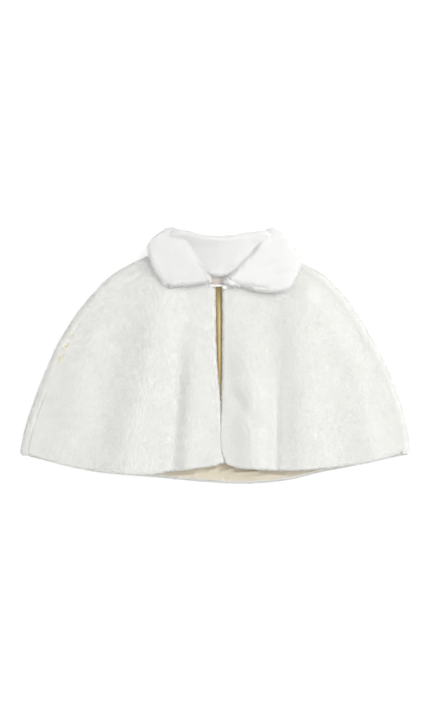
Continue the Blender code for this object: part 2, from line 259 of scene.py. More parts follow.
SKIRT_FRONT_END = (84.0, 95.0)
SKIRT_ROUND = 3.0

# Band of the collar that stands up at the back of the neck: x, y and z of its seam and its top edge
BAND_SEAM = (
    (-40.0, 131.0, 20.0), (-26.0, 110.0, 17.0), (-11.0, 98.2, 14.5), (2.0, 95.6, 14.0),
    (21.0, 96.0, 16.0), (40.0, 107.0, 18.0), (61.0, 129.0, 20.0),
)
BAND_TOP = (
    (-52.0, 146.5, 24.0), (-37.0, 147.6, 25.0), (-16.0, 142.6, 26.0), (3.6, 141.0, 26.0),
    (22.8, 142.6, 26.0), (42.0, 145.8, 25.0), (66.0, 146.5, 24.0),
)
BAND_SAG = 3.0
BAND_WALL = 3.4  # half of its thickness
BAND_TOP_SOFTER = 0.4  # what its top edge's radius adds to that
BAND_LENGTH = 50.0
BAND_STEPS = 36
BAND_AROUND = 90

# Back of the collar, which hangs from the band's top edge nearly down to the floor
BACK_FALL_TOP = (
    (-64.0, 141.0, 18.0), (-52.0, 145.0, 21.0), (-37.0, 144.6, 22.0), (-16.0, 139.8, 22.5),
    (3.6, 138.2, 22.5), (22.8, 139.8, 22.5), (42.0, 143.0, 22.0), (66.0, 145.0, 21.0),
    (79.0, 141.0, 18.0),
)
BACK_FALL_FOOT = 5.0
BACK_FALL_SWAY = 2.5  # how far its foot is tucked in under the top

# Plush of the whole collar
COLLAR_VOXEL = 1.1
COLLAR_ROUNDS = 6  # of smoothing
COLLAR_BACK = 140.0  # behind which all sides of it have pile
COLLAR_UNDERSIDE = -0.5  # upright part of the normals below which the rest has none
NECK_CENTRE = Spot(3.0, 96.0)  # from which its nap spreads

# Lining
LINING_LEVEL = FUR + SEAM  # lower side of the back's lining
LINING_SHORT = {"front": 0.02, "back": 0.013}  # share of a panel's length left bare at the hem
LINING_ACROSS = (0.012, 0.97)  # shares of a front's width between which its lining lies
SATIN = 0.5  # thickness shown
# Painted shade: the back's lining turns from its paler tone to a deeper gold away from the hem, standing
# in for the shade and bounced light between the fronts
SATIN_SHADE_REACH = 60.0  # how far up from the hem it is paler
HEM_CROWD = 1.7  # how far the back lining's rows crowd to the hem, and its columns to the slit
SLIT_CROWD = 1.5

# Creases of the back's lining where it shows below the fronts and between them
LINING_CREASES = (
    Crease(-10.0, -138.6, 0.5, -137.4, 1.3, 2.0, 0.2),
    Crease(5.0, -140.6, 23.0, -135.8, 1.2, 2.6, 0.2),
    Crease(18.0, -141.4, 50.0, -140.0, 1.5, 2.8, 0.2),
    Crease(40.0, -145.0, 64.0, -145.6, 1.3, 1.1, 0.2),
    Crease(52.0, -142.6, 84.0, -144.6, 1.5, 1.4, 0.2),
    Crease(-62.0, -146.0, -24.0, -143.4, 1.8, 1.4, 0.2),
    Crease(-30.0, -147.6, 8.0, -149.0, 1.6, 1.0, 0.2),
    Crease(4.6, 90.0, 6.4, -112.0, 5.0, 6.0, 0.2),
)
PUCKER = Spot(15.4, -147.0)
PUCKER_RADIUS = 1.9
PUCKER_RIM = 1.1  # height of its ring
PUCKER_RIM_WIDTH = 0.8
PUCKER_PIT = 0.6  # depth of its middle
PUCKER_PIT_WIDTH = 0.9

# Label and closure
LABEL_WIDTH = 30.0
LABEL_LENGTH = 10.4
LABEL_MIDDLE = Spot(3.0, 89.4)
LABEL_LEVEL = 9.8
LABEL_BOW = 0.4
LABEL_RISE = 1.6  # at its sewn edge
LABEL_RISING = (86.0, 95.0)
LABEL_THICKNESS = 0.35
CLASP_Y = 83.4
CLASP_LEVEL = LAID + 2.2
HOOK_WIRE = 0.7  # radius
EYE_THREAD = 0.55
STITCH_HEIGHT = 1.7
STITCH_SUNK = 0.9
STITCH_LEAN = 0.25
STITCH_STEPS = 7

# Points along the cloth, and the length and width of a panel that spread them
FRONT_STEPS = 90
BACK_ROWS = 100
BACK_COLUMNS = 90
LINING_STEPS = 60
BACK_LINING_ROWS = 80
BACK_LINING_COLUMNS = 221
PANEL_LENGTH = 250.0
PANEL_WIDTH = 225.0
EDGE_STEPS = np.array([0.0, 0.3, 0.9, 1.8, 2.9, 4.2])  # in from a rounded edge

# Camera over the photograph's centre, and its frame in millimetres
VIEW_CENTRE = Spot(0.0, 1.2)
VIEW_HEIGHT = 850.8
LENS = 100.0
SENSOR = 36.0
FLOOR_SIZE = 6000.0
FLOOR_DROP = 0.4  # of the floor below the cape


def lengths(vectors):
    """How long vectors are."""
    return np.linalg.norm(vectors, axis=-1)


def unit(vectors):
    """The directions of vectors."""
    return vectors / np.maximum(np.linalg.norm(vectors, axis=-1, keepdims=True), 1e-9)


def bell(distance, width):
    """1 in the middle of a soft bump, and near 0 from twice its width on."""
    return np.exp(-((distance / width) ** 2))


def smooth(spots):
    """A curve through the spots, by its share of their length."""
    spots = np.array(spots, float)
    steps = lengths(np.diff(spots, axis=0))
    knots = np.concatenate([[0.0], np.cumsum(steps)]) / steps.sum()
    slopes = np.gradient(spots, knots, axis=0)

    def at(share):
        i = np.clip(np.searchsorted(knots, share) - 1, 0, len(knots) - 2)
        span = np.asarray(knots[i + 1] - knots[i])[..., None]
        t = np.asarray(share - knots[i])[..., None] / span
        ends = (2 * t**3 - 3 * t**2 + 1) * spots[i] + (3 * t**2 - 2 * t**3) * spots[i + 1]
        turn = (t**3 - 2 * t**2 + t) * slopes[i] + (t**3 - t**2) * slopes[i + 1]
        return ends + span * turn

    return at


def eased(low, high, value):
    """0 below low, 1 above high, and a smooth rise between them."""
    t = np.clip((value - low) / (high - low), 0.0, 1.0)
    return t * t * (3 - 2 * t)


def rounded(distance, radius):
    """Height of a quarter circle's edge at a distance in from it, from 0 to 1."""
    left = 1 - np.clip(distance / radius, 0.0, 1.0)
    return np.sqrt(1 - left**2)


def clouds(x, y, uneven):
    """Heights of an unevenness at these places."""
    random = np.random.default_rng(uneven.seed)
    turns = random.uniform(0, 2 * math.pi, WAVES)
    starts = random.uniform(0, 2 * math.pi, WAVES)
    stretches = random.uniform(*WAVE_STRETCH, WAVES)
    total = 0.0
    for turn, start, stretch in zip(turns, starts, stretches):
        along = x * math.cos(turn) + y * math.sin(turn)
        total = total + np.sin(along * 2 * math.pi / (uneven.size * 2 * stretch) + start)
    return uneven.height * (total / WAVES_MOST)


def patch(neck, hem, first, last, along, across):
    """A grid of points between four edges, at these shares along and across."""
    u = along[:, None, None]
    v = across[None, :, None]
    sides = (1 - v) * first(along)[:, None] + v * last(along)[:, None]
    ends = (1 - u) * neck(across)[None] + u * hem(across)[None]
    top = (1 - v) * neck(0.0) + v * neck(1.0)
    bottom = (1 - v) * hem(0.0) + v * hem(1.0)
    return sides + ends - (1 - u) * top - u * bottom


SIDE_LENGTH = 340.0  # of the outline from the neck point to the hem corner
SIDE_CURVES = {
    "right": smooth([(row.right, row.y) for row in SIDES]),
    "left": smooth([(row.left, row.y) for row in SIDES]),
}


def inward(side, u):
    """Directions from the side's outline into the cape."""
    step = 0.01
    curve = SIDE_CURVES[side]
    along = curve(np.minimum(u + step, 1.0)) - curve(np.maximum(u - step, 0.0))
    along = unit(along)
    turned = np.stack([-along[..., 1], along[..., 0]], axis=-1)
    return turned if side == "right" else -turned


def side_edge(side, inset):
    """The line this far in from the side's outline."""
    return lambda u: SIDE_CURVES[side](u) + inset * inward(side, u)


def fine_shares(count, length, first=0.0, last=0.0):
    """Shares from 0 to 1 that crowd together at both ends, with the cut edges left off."""
    edge = EDGE_STEPS / length
    low = first / length + edge
    high = 1 - last / length - edge[::-1]
    return np.concatenate([low, np.linspace(low[-1], high[0], count)[1:-1], high])


def quads(numbers):
    """Faces between neighbouring rows and columns of numbered points."""
    return np.stack(
        [numbers[:-1, :-1], numbers[:-1, 1:], numbers[1:, 1:], numbers[1:, :-1]], axis=-1
    ).reshape(-1, 4)


def make_mesh(name, points, faces):
    """A mesh from points in millimetres and faces that all have as many corners."""
    used, corners = np.unique(faces, return_inverse=True)
    corners = corners.reshape(faces.shape)
    mesh = bpy.data.meshes.new(name)
    mesh.vertices.add(len(used))
    mesh.vertices.foreach_set("co", (points[used] * MM).astype(np.float32).ravel())
    mesh.loops.add(corners.size)
    mesh.loops.foreach_set("vertex_index", corners.astype(np.int32).ravel())
    mesh.polygons.add(len(corners))
    mesh.polygons.foreach_set("loop_start", np.arange(0, corners.size, corners.shape[1], dtype=np.int32))
    mesh.update(calc_edges=True)
    return mesh


def put(name, data):
    """A new object in the scene."""
    made = bpy.data.objects.new(name, data)
    bpy.context.scene.collection.objects.link(made)
    return made


def add_piece(name, mesh, material):
    """A smooth-shaded object that rides on the cape's one body."""
    piece = put(name, mesh)
    mesh.materials.append(material)
    mesh.shade_smooth()
    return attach(piece, "root")


def face_out(mesh):
    """Turn a closed mesh's faces outwards."""
    work = bmesh.new()
    work.from_mesh(mesh)
    bmesh.ops.recalc_face_normals(work, faces=work.faces)
    work.to_mesh(mesh)
    work.free()


def shell_mesh(name, outer, inner):
    """A closed wall between two sheets of points, which takes its border from the outer sheet."""
    rows, columns = outer.shape[:2]
    over = np.arange(rows * columns).reshape(rows, columns)
    under = over + rows * columns
    for edge in (np.s_[0], np.s_[-1], np.s_[:, 0], np.s_[:, -1]):
        under[edge] = over[edge]
    points = np.concatenate([outer.reshape(-1, 3), inner.reshape(-1, 3)])
    mesh = make_mesh(name, points, np.concatenate([quads(over), quads(under)[:, ::-1]]))
    face_out(mesh)
    return mesh


def shell_values(outer, inner):
    """Values for the points of a shell, from those on its two sheets."""
    return np.concatenate([outer.ravel(), inner[1:-1, 1:-1].ravel()])


def add_shell(name, outer, inner, material):
    """A piece that is the closed wall between two sheets of points."""
    return add_piece(name, shell_mesh(name, outer, inner), material)


def border_distance(plan):
    """How far each point of a grid is from the grid's four sides."""
    ends = {"first": plan[:, :1], "last": plan[:, -1:], "neck": plan[:1], "hem": plan[-1:]}
    return {side: lengths(plan - end) for side, end in ends.items()}


# Materials


def new_material(name, roughness, sheen=0.0):
    """A material with its nodes, its links and its shader."""
    material = bpy.data.materials.new(name)
    material.use_nodes = True
    shader = material.node_tree.nodes["Principled BSDF"]
    shader.inputs["Roughness"].default_value = roughness
    shader.inputs["Sheen Weight"].default_value = sheen
    shader.inputs["Sheen Roughness"].default_value = 0.5
    return material, material.node_tree.nodes, material.node_tree.links, shader


def stored(nodes, name):
    """The shares that a piece keeps under a name."""
    made = nodes.new("ShaderNodeAttribute")
    made.attribute_name = name
    return made.outputs["Fac"]


def noise(nodes, links, source, scale):
    """Values of a noise at this scale."""
    made = nodes.new("ShaderNodeTexNoise")
    made.inputs["Scale"].default_value = scale
    made.inputs["Detail"].default_value = 3.0
    links.new(source, made.inputs["Vector"])
    return made.outputs["Fac"]


def ramp(nodes, links, source, low, high):
    """The colours from one tone to another by the values of a source."""
    made = nodes.new("ShaderNodeValToRGB")
    made.color_ramp.elements[0].color = low
    made.color_ramp.elements[1].color = high
    links.new(source, made.inputs["Fac"])
    return made


def blend(nodes, links, share, under, over):
    """A colour that turns to another one by a share."""
    made = nodes.new("ShaderNodeMix")
    made.data_type = "RGBA"
    made.inputs["B"].default_value = over
    links.new(share, made.inputs["Factor"])
    links.new(under, made.inputs["A"])
    return made.outputs["Result"]


def add_bump(nodes, links, shader, height, strength, distance):
    """Fine relief on a material."""
    bump = nodes.new("ShaderNodeBump")
    bump.inputs["Strength"].default_value = strength
    bump.inputs["Distance"].default_value = distance
    links.new(height, bump.inputs["Height"])
    links.new(bump.outputs["Normal"], shader.inputs["Normal"])


def pile_material():
    """Hairs that are warmer at the root and nearly white at the tip, each in its own tone, or gold."""
    material, nodes, links, shader = new_material("fur_pile", 0.85, 0.7)
    place = nodes.new("ShaderNodeUVMap")
    place.uv_map = "OFBake"
    split = nodes.new("ShaderNodeSeparateXYZ")
    links.new(place.outputs["UV"], split.inputs["Vector"])
    # the darker, warmer root is partly the fur's own colour and partly painted shade deep within the pile
    along = ramp(nodes, links, split.outputs["Y"], (0.90, 0.893, 0.85, 1.0), (0.96, 0.962, 0.955, 1.0))
    along.color_ramp.elements[1].position = 0.75
    tone = ramp(nodes, links, split.outputs["X"], (0.80, 0.75, 0.53, 1.0), (1.0, 1.0, 1.0, 1.0))
    tone.color_ramp.elements.new(TONE_LOW).color = (0.82, 0.82, 0.80, 1.0)
    mixed = nodes.new("ShaderNodeMix")
    mixed.data_type = "RGBA"
    mixed.blend_type = "MULTIPLY"
    mixed.inputs["Factor"].default_value = 1.0
    links.new(along.outputs["Color"], mixed.inputs["A"])
    links.new(tone.outputs["Color"], mixed.inputs["B"])
    links.new(mixed.outputs["Result"], shader.inputs["Base Color"])
    return material


def plush_material(name, dark, pale):
    """The dense body of the plush in two tones, with its knitted backing where the pile is parted."""
    material, nodes, links, shader = new_material(name, 0.9, 0.2)
    place = nodes.new("ShaderNodeTexCoord").outputs["Object"]
    tone = ramp(nodes, links, noise(nodes, links, place, 260.0), dark, pale).outputs["Color"]
    flecks = nodes.new("ShaderNodeMapRange")
    flecks.inputs["From Min"].default_value = 0.48
    flecks.inputs["From Max"].default_value = 0.62
    links.new(noise(nodes, links, place, 330.0), flecks.inputs["Value"])
    shown = nodes.new("ShaderNodeMath")
    shown.operation = "MULTIPLY"
    links.new(stored(nodes, "parting"), shown.inputs[0])
    links.new(flecks.outputs["Result"], shown.inputs[1])
    colour = blend(nodes, links, shown.outputs["Value"], tone, (0.66, 0.58, 0.36, 1.0))
    links.new(colour, shader.inputs["Base Color"])
    add_bump(nodes, links, shader, noise(nodes, links, place, 900.0), 0.35, 0.001)
    return material


def satin_material():
    """Champagne satin with fine threads and soft, uneven gloss, painted a deeper gold away from the hem
    as painted shade under and between the fronts.
    """
    material, nodes, links, shader = new_material("champagne_satin", 0.36)
    place = nodes.new("ShaderNodeTexCoord").outputs["Object"]
    uneven = noise(nodes, links, place, 60.0)
    tone = ramp(nodes, links, uneven, (0.515, 0.465, 0.36, 1.0), (0.62, 0.57, 0.465, 1.0))
    # painted shade: a deeper gold on the back's lining away from the hem, where the fronts shade it
    deep_gold_painted_shade = stored(nodes, "deep_gold_painted_shade")
    colour = blend(nodes, links, deep_gold_painted_shade, tone.outputs["Color"], (0.60, 0.46, 0.21, 1.0))
    links.new(colour, shader.inputs["Base Color"])
    stretch = nodes.new("ShaderNodeMapping")
    stretch.inputs["Scale"].default_value = (1.0, 9.0, 1.0)
    links.new(place, stretch.inputs["Vector"])
    threads = noise(nodes, links, stretch.outputs["Vector"], 420.0)
    add_bump(nodes, links, shader, threads, 0.12, 0.0006)
    return material


def tape_material():
    """Blush woven tape, with the ribs of its weave."""
    material, nodes, links, shader = new_material("blush_tape", 0.6)
    place = nodes.new("ShaderNodeTexCoord").outputs["Object"]
    weave = nodes.new("ShaderNodeTexWave")
    weave.bands_direction = "Y"
    weave.inputs["Scale"].default_value = 420.0
    weave.inputs["Distortion"].default_value = 0.6
    links.new(place, weave.inputs["Vector"])
    tone = ramp(nodes, links, weave.outputs["Fac"], (0.90, 0.79, 0.73, 1.0), (0.97, 0.91, 0.86, 1.0))
    links.new(tone.outputs["Color"], shader.inputs["Base Color"])
    add_bump(nodes, links, shader, weave.outputs["Fac"], 0.3, 0.0003)
    return material


def thread_material():
    """White sewing thread with the slant of its twist."""
    material, nodes, links, shader = new_material("white_thread", 0.5, 0.1)
    place = nodes.new("ShaderNodeTexCoord").outputs["Object"]
    twist = nodes.new("ShaderNodeTexWave")
    twist.bands_direction = "DIAGONAL"
    twist.inputs["Scale"].default_value = 600.0
    links.new(place, twist.inputs["Vector"])
    tone = ramp(nodes, links, twist.outputs["Fac"], (0.82, 0.82, 0.80, 1.0), (0.95, 0.95, 0.94, 1.0))
    links.new(tone.outputs["Color"], shader.inputs["Base Color"])
    add_bump(nodes, links, shader, twist.outputs["Fac"], 0.4, 0.0002)
    return material


# Fur panels and their linings


def front_relief(side, plan, u, v):
    """Height of a front's flutes and small unevenness over its flat level."""
    x = plan[..., 0]
    y = plan[..., 1]
    lift = np.zeros_like(x)
    for flute in FLUTES[side]:
        offset = x - (flute.top_x + u[:, None] * (flute.hem_x - flute.top_x))
        flank = np.where(offset < 0, flute.right_flank, flute.left_flank)
        grown = eased(flute.start, flute.full, u)[:, None]
        lift += flute.height * grown * bell(offset, flank)
    lift += creased(plan, FRONT_CREASES[side]) + clouds(x, FRONT_UNEVEN_DRAWN * y, FRONT_UNEVEN)
    return lift * (1 - eased(FLUTE_CLEAR_OF_SIDE, 1.0, v))[None, :]


def front_grid(side, u, v):
    """Points of a front in the plan, by shares from neck to hem and from its edge to its seam."""
    seam = side_edge(side, SEAM_INSET)
    edge = OPEN_EDGE[side]
    neck = smooth([edge[0], *NECK[side], seam(0.0)])
    hem = smooth([edge[-1], *HEM[side], seam(1.0)])
    return patch(neck, hem, smooth(edge), seam, u, v)


def with_height(plan, z):
    """Points of the plan at these heights."""
    return np.concatenate([plan, np.broadcast_to(z, plan.shape[:2])[..., None]], axis=-1)


def seam_body(side, u, away):
    """Share of the plush's height beside a side seam, at rows u and distances away from it."""
    depth = np.interp(u, *np.array(SEAM_DEPTH[side]).T)[:, None]
    return 1 - depth * (1 - rounded(away, SEAM_ROUND))


def parted(side, u, away, plan):
    """How far the backing shows through the pile beside a side seam, in flecks."""
    if side == "left":
        return np.zeros(plan.shape[:2])
    first, last = PARTED
    reach = eased(first, first + PARTED_FADE, u) * (1 - eased(last - PARTED_FADE, last, u))
    runs = eased(*PARTED_SHOWN, clouds(plan[..., 0], plan[..., 1], PARTED_UNEVEN))
    return reach[:, None] * runs * bell(away, PARTED_WIDTH)


def store(piece, name, shares):
    """Keep a share for each point of a piece, which its material reads by name."""
    layer = piece.data.attributes.new(name, "FLOAT", "POINT")
    layer.data.foreach_set("value", shares.astype(np.float32))


def fall_outline(side, inset):
    """The closed outline of a fall as a ring of points, moved in from its edge."""
    outline = [*FALL_EDGE[side], *ROLL[side]]
    wrapped = smooth([*outline[-3:], *outline, *outline[:4]])
    line = wrapped(np.linspace(0, 1, TRACE_STEPS))
    start = np.array(outline[0])
    late = TRACE_STEPS - TRACE_ENDS
    first = np.argmin(lengths(line[:TRACE_ENDS] - start))
    last = late + np.argmin(lengths(line[late:] - start))
    ring = line[np.linspace(first, last, FALL_AROUND + 1).astype(int)[:-1]]
    along = np.roll(ring, -1, axis=0) - np.roll(ring, 1, axis=0)
    out = unit(np.stack([along[:, 1], -along[:, 0]], axis=1))
    middle = np.array(FALL_MIDDLE[side])
    out *= np.sign((out * (ring - middle)).sum(1)).sum()
    return ring - inset * unit(out)


def inside(points, outline):
    """Whether points in the plan lie inside an outline."""
    x = points[..., 0, None]
    y = points[..., 1, None]
    a = outline
    b = np.roll(outline, -1, axis=0)
    crosses = (a[:, 1] > y) != (b[:, 1] > y)
    run = np.where(a[:, 1] == b[:, 1], 1.0, b[:, 1] - a[:, 1])
    at = a[:, 0] + (y - a[:, 1]) * (b[:, 0] - a[:, 0]) / run
    return (crosses & (x < at)).sum(axis=-1) % 2 == 1


def build_front(side, plush, satin):
    """A front's plush body with the density of its pile, and its lining."""
    u = fine_shares(FRONT_STEPS, PANEL_LENGTH, last=HEM_INSET["front"])
    v = fine_shares(FRONT_STEPS, PANEL_WIDTH, first=EDGE_INSET)
    plan = front_grid(side, u, v)
    lift = front_relief(side, plan, u, v)
    away = border_distance(plan)
    body = seam_body(side, u, away["last"])
    for edge, radius in (("first", OPEN_ROUND[side]), ("neck", PLUSH_ROUND), ("hem", PLUSH_ROUND)):
        body = np.minimum(body, rounded(away[edge], radius))
    middle = FRONT_LEVEL + lift
    top = FOLD_TOP + (PLUSH_TOP - FOLD_TOP) * eased(0.0, SEAM_BLEND, away["last"])
    outer = with_height(plan, middle + top * body)
    inner = with_height(plan, middle - FUR / 2 * body)
    panel = add_shell(f"fur_front_{side}", outer, inner, plush)
    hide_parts(f"front_{side}")
    backing = parted(side, u, away["last"], plan)
    rim = np.where(np.minimum(away["first"], away["hem"]) < PLUSH_ROUND, 1.0, 0.0)
    store(panel, "parting", shell_values(backing, np.zeros_like(rim)))
    covered = inside(plan, fall_outline(side, HIDDEN_INSET))
    density = shell_values(np.where(covered, 0.0, 1 - PARTED_THIN * backing), rim)

    u = np.linspace(0.0, 1 - LINING_SHORT["front"], LINING_STEPS)
    v = np.linspace(*LINING_ACROSS, LINING_STEPS)
    plan = front_grid(side, u, v)
    level = FRONT_LEVEL - FUR / 2 - SEAM + front_relief(side, plan, u, v)
    outer = with_height(plan, level)
    sheet = add_shell(f"satin_front_{side}", outer, with_height(plan, level - SATIN), satin)
    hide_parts(f"lining_front_{side}")
    return panel, sheet, density


FOLD_LEAD = np.array([0.0, 0.3, 0.9, 1.6])  # flat run from the seam to the fold
FOLD_STEPS = 16
FOLD_CLEAR = 9.0  # a distance from the seam at which it no longer shows
FOLD_BARE = 2  # columns below the fold that have no pile
FOLD_SETTLED = 0.03  # share of the back's width over which its plush grows from the fold's height


def fold_path():
    """Insets, heights and outward directions round the side fold, from its seam to the flat back."""
    turn = np.linspace(math.pi / 2, -math.pi / 2, FOLD_STEPS)
    flat = np.ones_like(FOLD_LEAD)
    inset = np.concatenate([SEAM_INSET - FOLD_LEAD, FLAT_INSET - FOLD_RADIUS * np.cos(turn)])
    height = np.concatenate([FRONT_LEVEL * flat, LAID / 2 + FOLD_RADIUS * np.sin(turn)])
    out_inset = np.concatenate([0 * flat, -np.cos(turn)])
    out_height = np.concatenate([flat, np.sin(turn)])
    return inset, height, out_inset, out_height


def fold_sheet(side, u, reach):
    """Points of the side fold, moved out from the middle of its wall by reach(rows, columns)."""
    inset, height, out_inset, out_height = fold_path()
    across = inset[None, :] + out_inset[None, :] * reach
    turn = 1 - rounded((1 - u) * SIDE_LENGTH, CORNER)
    across = across + CORNER * turn[:, None] * np.maximum(1 - across / FLAT_INSET, 0.0)
    curve = SIDE_CURVES[side](u)[:, None] + across[..., None] * inward(side, u)[:, None]
    return with_height(curve, height[None, :] + out_height[None, :] * reach)


def back_flat(u, v):
    """Points of the flat back in the plan, by shares from neck to hem and from right to left."""
    right = side_edge("right", FLAT_INSET)
    left = side_edge("left", FLAT_INSET)
    neck = smooth([right(0.0), *BACK_NECK, left(0.0)])
    hem = smooth([right(1.0), *BACK_HEM, left(1.0)])
    return patch(neck, hem, right, left, u, v)


def creased(plan, creases):
    """Height of some creases over a grid of points; each one rises gently from its first end."""
    lift = np.zeros(plan.shape[:2])
    for crease in creases:
        start = np.array([crease.x, crease.y])
        run = np.array([crease.to_x, crease.to_y]) - start
        share = np.clip((plan - start) @ run / (run @ run), 0.0, 1.0)
        off = lengths(plan - start - share[..., None] * run)
        lift += crease.height * eased(0.0, crease.rise, share) * bell(off, crease.width)
    return lift


def lining_relief(plan):
    """Height of the creases and the pucker in the back's lining."""
    lift = LINING_UNEVEN.height + clouds(plan[..., 0], plan[..., 1], LINING_UNEVEN)
    lift += creased(plan, LINING_CREASES)
    away = lengths(plan - np.array(PUCKER))
    rim = PUCKER_RIM * bell(away - PUCKER_RADIUS, PUCKER_RIM_WIDTH)
    pit = PUCKER_PIT * bell(away, PUCKER_PIT_WIDTH)
    return lift + (rim - pit)


def build_back(plush, satin):
    """The back's plush body, with the folds that carry it round to the fronts, and its lining."""
    u = fine_shares(BACK_ROWS, PANEL_LENGTH, last=HEM_INSET["back"])
    v = np.linspace(0.0, 1.0, BACK_COLUMNS)
    plan = back_flat(u, v)
    hem = rounded(lengths(plan - plan[-1:]), PLUSH_ROUND)
    neck = rounded(lengths(plan - plan[:1]), PLUSH_ROUND)
    ends = np.minimum(hem, neck)
    straight = np.concatenate([FOLD_LEAD, np.full(FOLD_STEPS, FOLD_CLEAR)])
    sheets = []
    for share in (1.0, -1.0):
        parts = []
        for side in ("right", "left"):
            edge = ends[:, 0] if side == "right" else ends[:, -1]
            body = np.minimum(edge[:, None], seam_body(side, u, straight[None, :]))
            wall = FOLD_TOP if share > 0 else FUR / 2
            parts.append(fold_sheet(side, u, share * wall * body))
        flat = with_height(plan, BACK_LEVEL - share * FUR / 2 * ends)
        settle = eased(0.0, FOLD_SETTLED, v) * eased(0.0, FOLD_SETTLED, 1 - v)
        if share > 0:
            flat[..., 2] = BACK_LEVEL - (FOLD_TOP + (FUR / 2 - FOLD_TOP) * settle)[None, :] * ends
        sheets.append(np.concatenate([parts[0], flat[:, 1:-1], parts[1][:, ::-1]], axis=1))
    panel = add_shell("fur_back", sheets[0], sheets[1], plush)
    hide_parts("back")
    rim = np.where(lengths(sheets[0] - sheets[0][-1:]) < PLUSH_ROUND, 1.0, 0.0)
    backing = np.zeros_like(rim)
    lead = len(straight)
    backing[:, :lead] = parted("right", u, straight[None, :], sheets[0][:, :lead, :2])
    store(panel, "parting", shell_values(backing, np.zeros_like(rim)))
    fold = np.zeros_like(rim)
    fold[:, : lead - FOLD_BARE] = 1.0
    fold[:, FOLD_BARE - lead :] = 1.0
    density = shell_values(np.maximum(fold * (1 - PARTED_THIN * backing), rim), rim)

    u = (1 - LINING_SHORT["back"]) * (1 - np.linspace(1.0, 0.0, BACK_LINING_ROWS) ** HEM_CROWD)
    spread = np.linspace(-1.0, 1.0, BACK_LINING_COLUMNS)
    v = 0.5 + 0.5 * np.sign(spread) * np.abs(spread) ** SLIT_CROWD
    plan = back_flat(u, v)
    level = LINING_LEVEL + SATIN + lining_relief(plan)
    sheet = add_shell("satin_back", with_height(plan, level), with_height(plan, level - SATIN), satin)
    # painted shade: share of the deeper gold that stands in for the shade of the lining away from the hem
    deep_gold_painted_shade = eased(0.0, SATIN_SHADE_REACH, lengths(plan - plan[-1:]))
    store(sheet, "deep_gold_painted_shade", shell_values(deep_gold_painted_shade, deep_gold_painted_shade))
    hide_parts("lining_back")
    return panel, sheet, density


# Collar


def distance_to_line(points, line):
    """How far each point in the plan is from a line of points."""
    a = line[:-1]
    d = line[1:] - a
    way = points[..., None, :] - a
    t = np.clip((way * d).sum(-1) / (d * d).sum(-1), 0.0, 1.0)
    return lengths(way - t[..., None] * d).min(axis=-1)


def in_groove(points, groove):
    """How far points in the plan are in a groove, from 0 beside it to 1 along its middle."""
    away = distance_to_line(points, smooth(groove.line)(np.linspace(0, 1, LINE_STEPS)))
    return bell(away, groove.width)


def fall_points(side):
    """Upper and lower sheet of one fall, as rings round its middle."""
    ring = fall_outline(side, FALL_INSET)
    roll = smooth(ROLL[side])(np.linspace(0, 1, LINE_STEPS))
    middle = np.array(FALL_MIDDLE[side])
    out = np.sin(np.linspace(0.02, math.pi / 2, FALL_RINGS))
    plan = middle + out[:, None, None] * (ring - middle)
    d = distance_to_line(plan, np.concatenate([ring, ring[:1]]))
    d[-1] = 0.0
    d_roll = distance_to_line(plan, roll)
    near = np.exp(-((d_roll / FALL_ROLL_REACH) ** FALL_ROLL_STEEP))
    x = plan[..., 0]
    y = plan[..., 1]
    share = FALL_FRONT_SHARE + (1 - FALL_FRONT_SHARE) * eased(*FALL_FRONT_END, y)
    height = FALL_EDGE_HEIGHT + FALL_ROLL_HEIGHT[side] * near * share
    height = height + clouds(x, y, FALL_UNEVEN)
    height = height - GROOVES[side].depth * in_groove(plan, GROOVES[side])
    base = FALL_BASE - FALL_TOP_DROP * eased(*FALL_TOP, y)
    round_edge = FALL_EDGE_ROUND + FALL_ROLL_ROUND * near
    upper = base + height * rounded(d, round_edge)
    skirt = ROLL_SKIRT * (1 - eased(0.0, SKIRT_REACH, d_roll)) * eased(*SKIRT_FRONT_END, y)
    lower = base - skirt * rounded(d, SKIRT_ROUND)
    return with_height(plan, upper), with_height(plan, lower)


def closed(numbers):
    """Numbered points in rings, with the first of each ring again at its end."""
    return np.concatenate([numbers, numbers[:, :1]], axis=1)


def fall_mesh(side):
    """One fall as a closed body."""
    upper, lower = fall_points(side)
    rings, around = upper.shape[:2]
    over = np.arange(rings * around).reshape(rings, around)
    under = over + rings * around
    under[-1] = over[-1]
    points = np.concatenate([upper.reshape(-1, 3), lower.reshape(-1, 3)])
    faces = np.concatenate([quads(closed(over)), quads(closed(under))[:, ::-1]])
    mesh = make_mesh("fall", points, faces)
    work = bmesh.new()
    work.from_mesh(mesh)
    bmesh.ops.holes_fill(work, edges=[e for e in work.edges if e.is_boundary], sides=0)
    bmesh.ops.recalc_face_normals(work, faces=work.faces)
    work.to_mesh(mesh)
    work.free()
    return mesh


def wall_mesh(name, seam, top, sag):
    """A closed wall of the collar between two lines, bowed down by the sag."""
    t = fine_shares(BAND_STEPS, BAND_LENGTH)
    middle = seam[None] * (1 - t)[:, None, None] + top[None] * t[:, None, None]
    middle[..., 2] -= sag * np.sin(math.pi * t)[:, None]
    along = np.gradient(middle, axis=1)
    across = np.gradient(middle, axis=0)
    normal = unit(np.cross(along, across))
    body = np.minimum(
        rounded(lengths(middle - middle[-1:]), BAND_WALL + BAND_TOP_SOFTER),
        rounded(lengths(middle - middle[:1]), BAND_WALL),
    )
    body[:, [0, -1]] = 0.0
    uneven = 1 + clouds(middle[..., 0], middle[..., 1], BAND_UNEVEN)
    outer = middle + (BAND_WALL * body * uneven)[..., None] * normal
    inner = middle - (BAND_WALL * body)[..., None] * normal
    return shell_mesh(name, outer, inner)


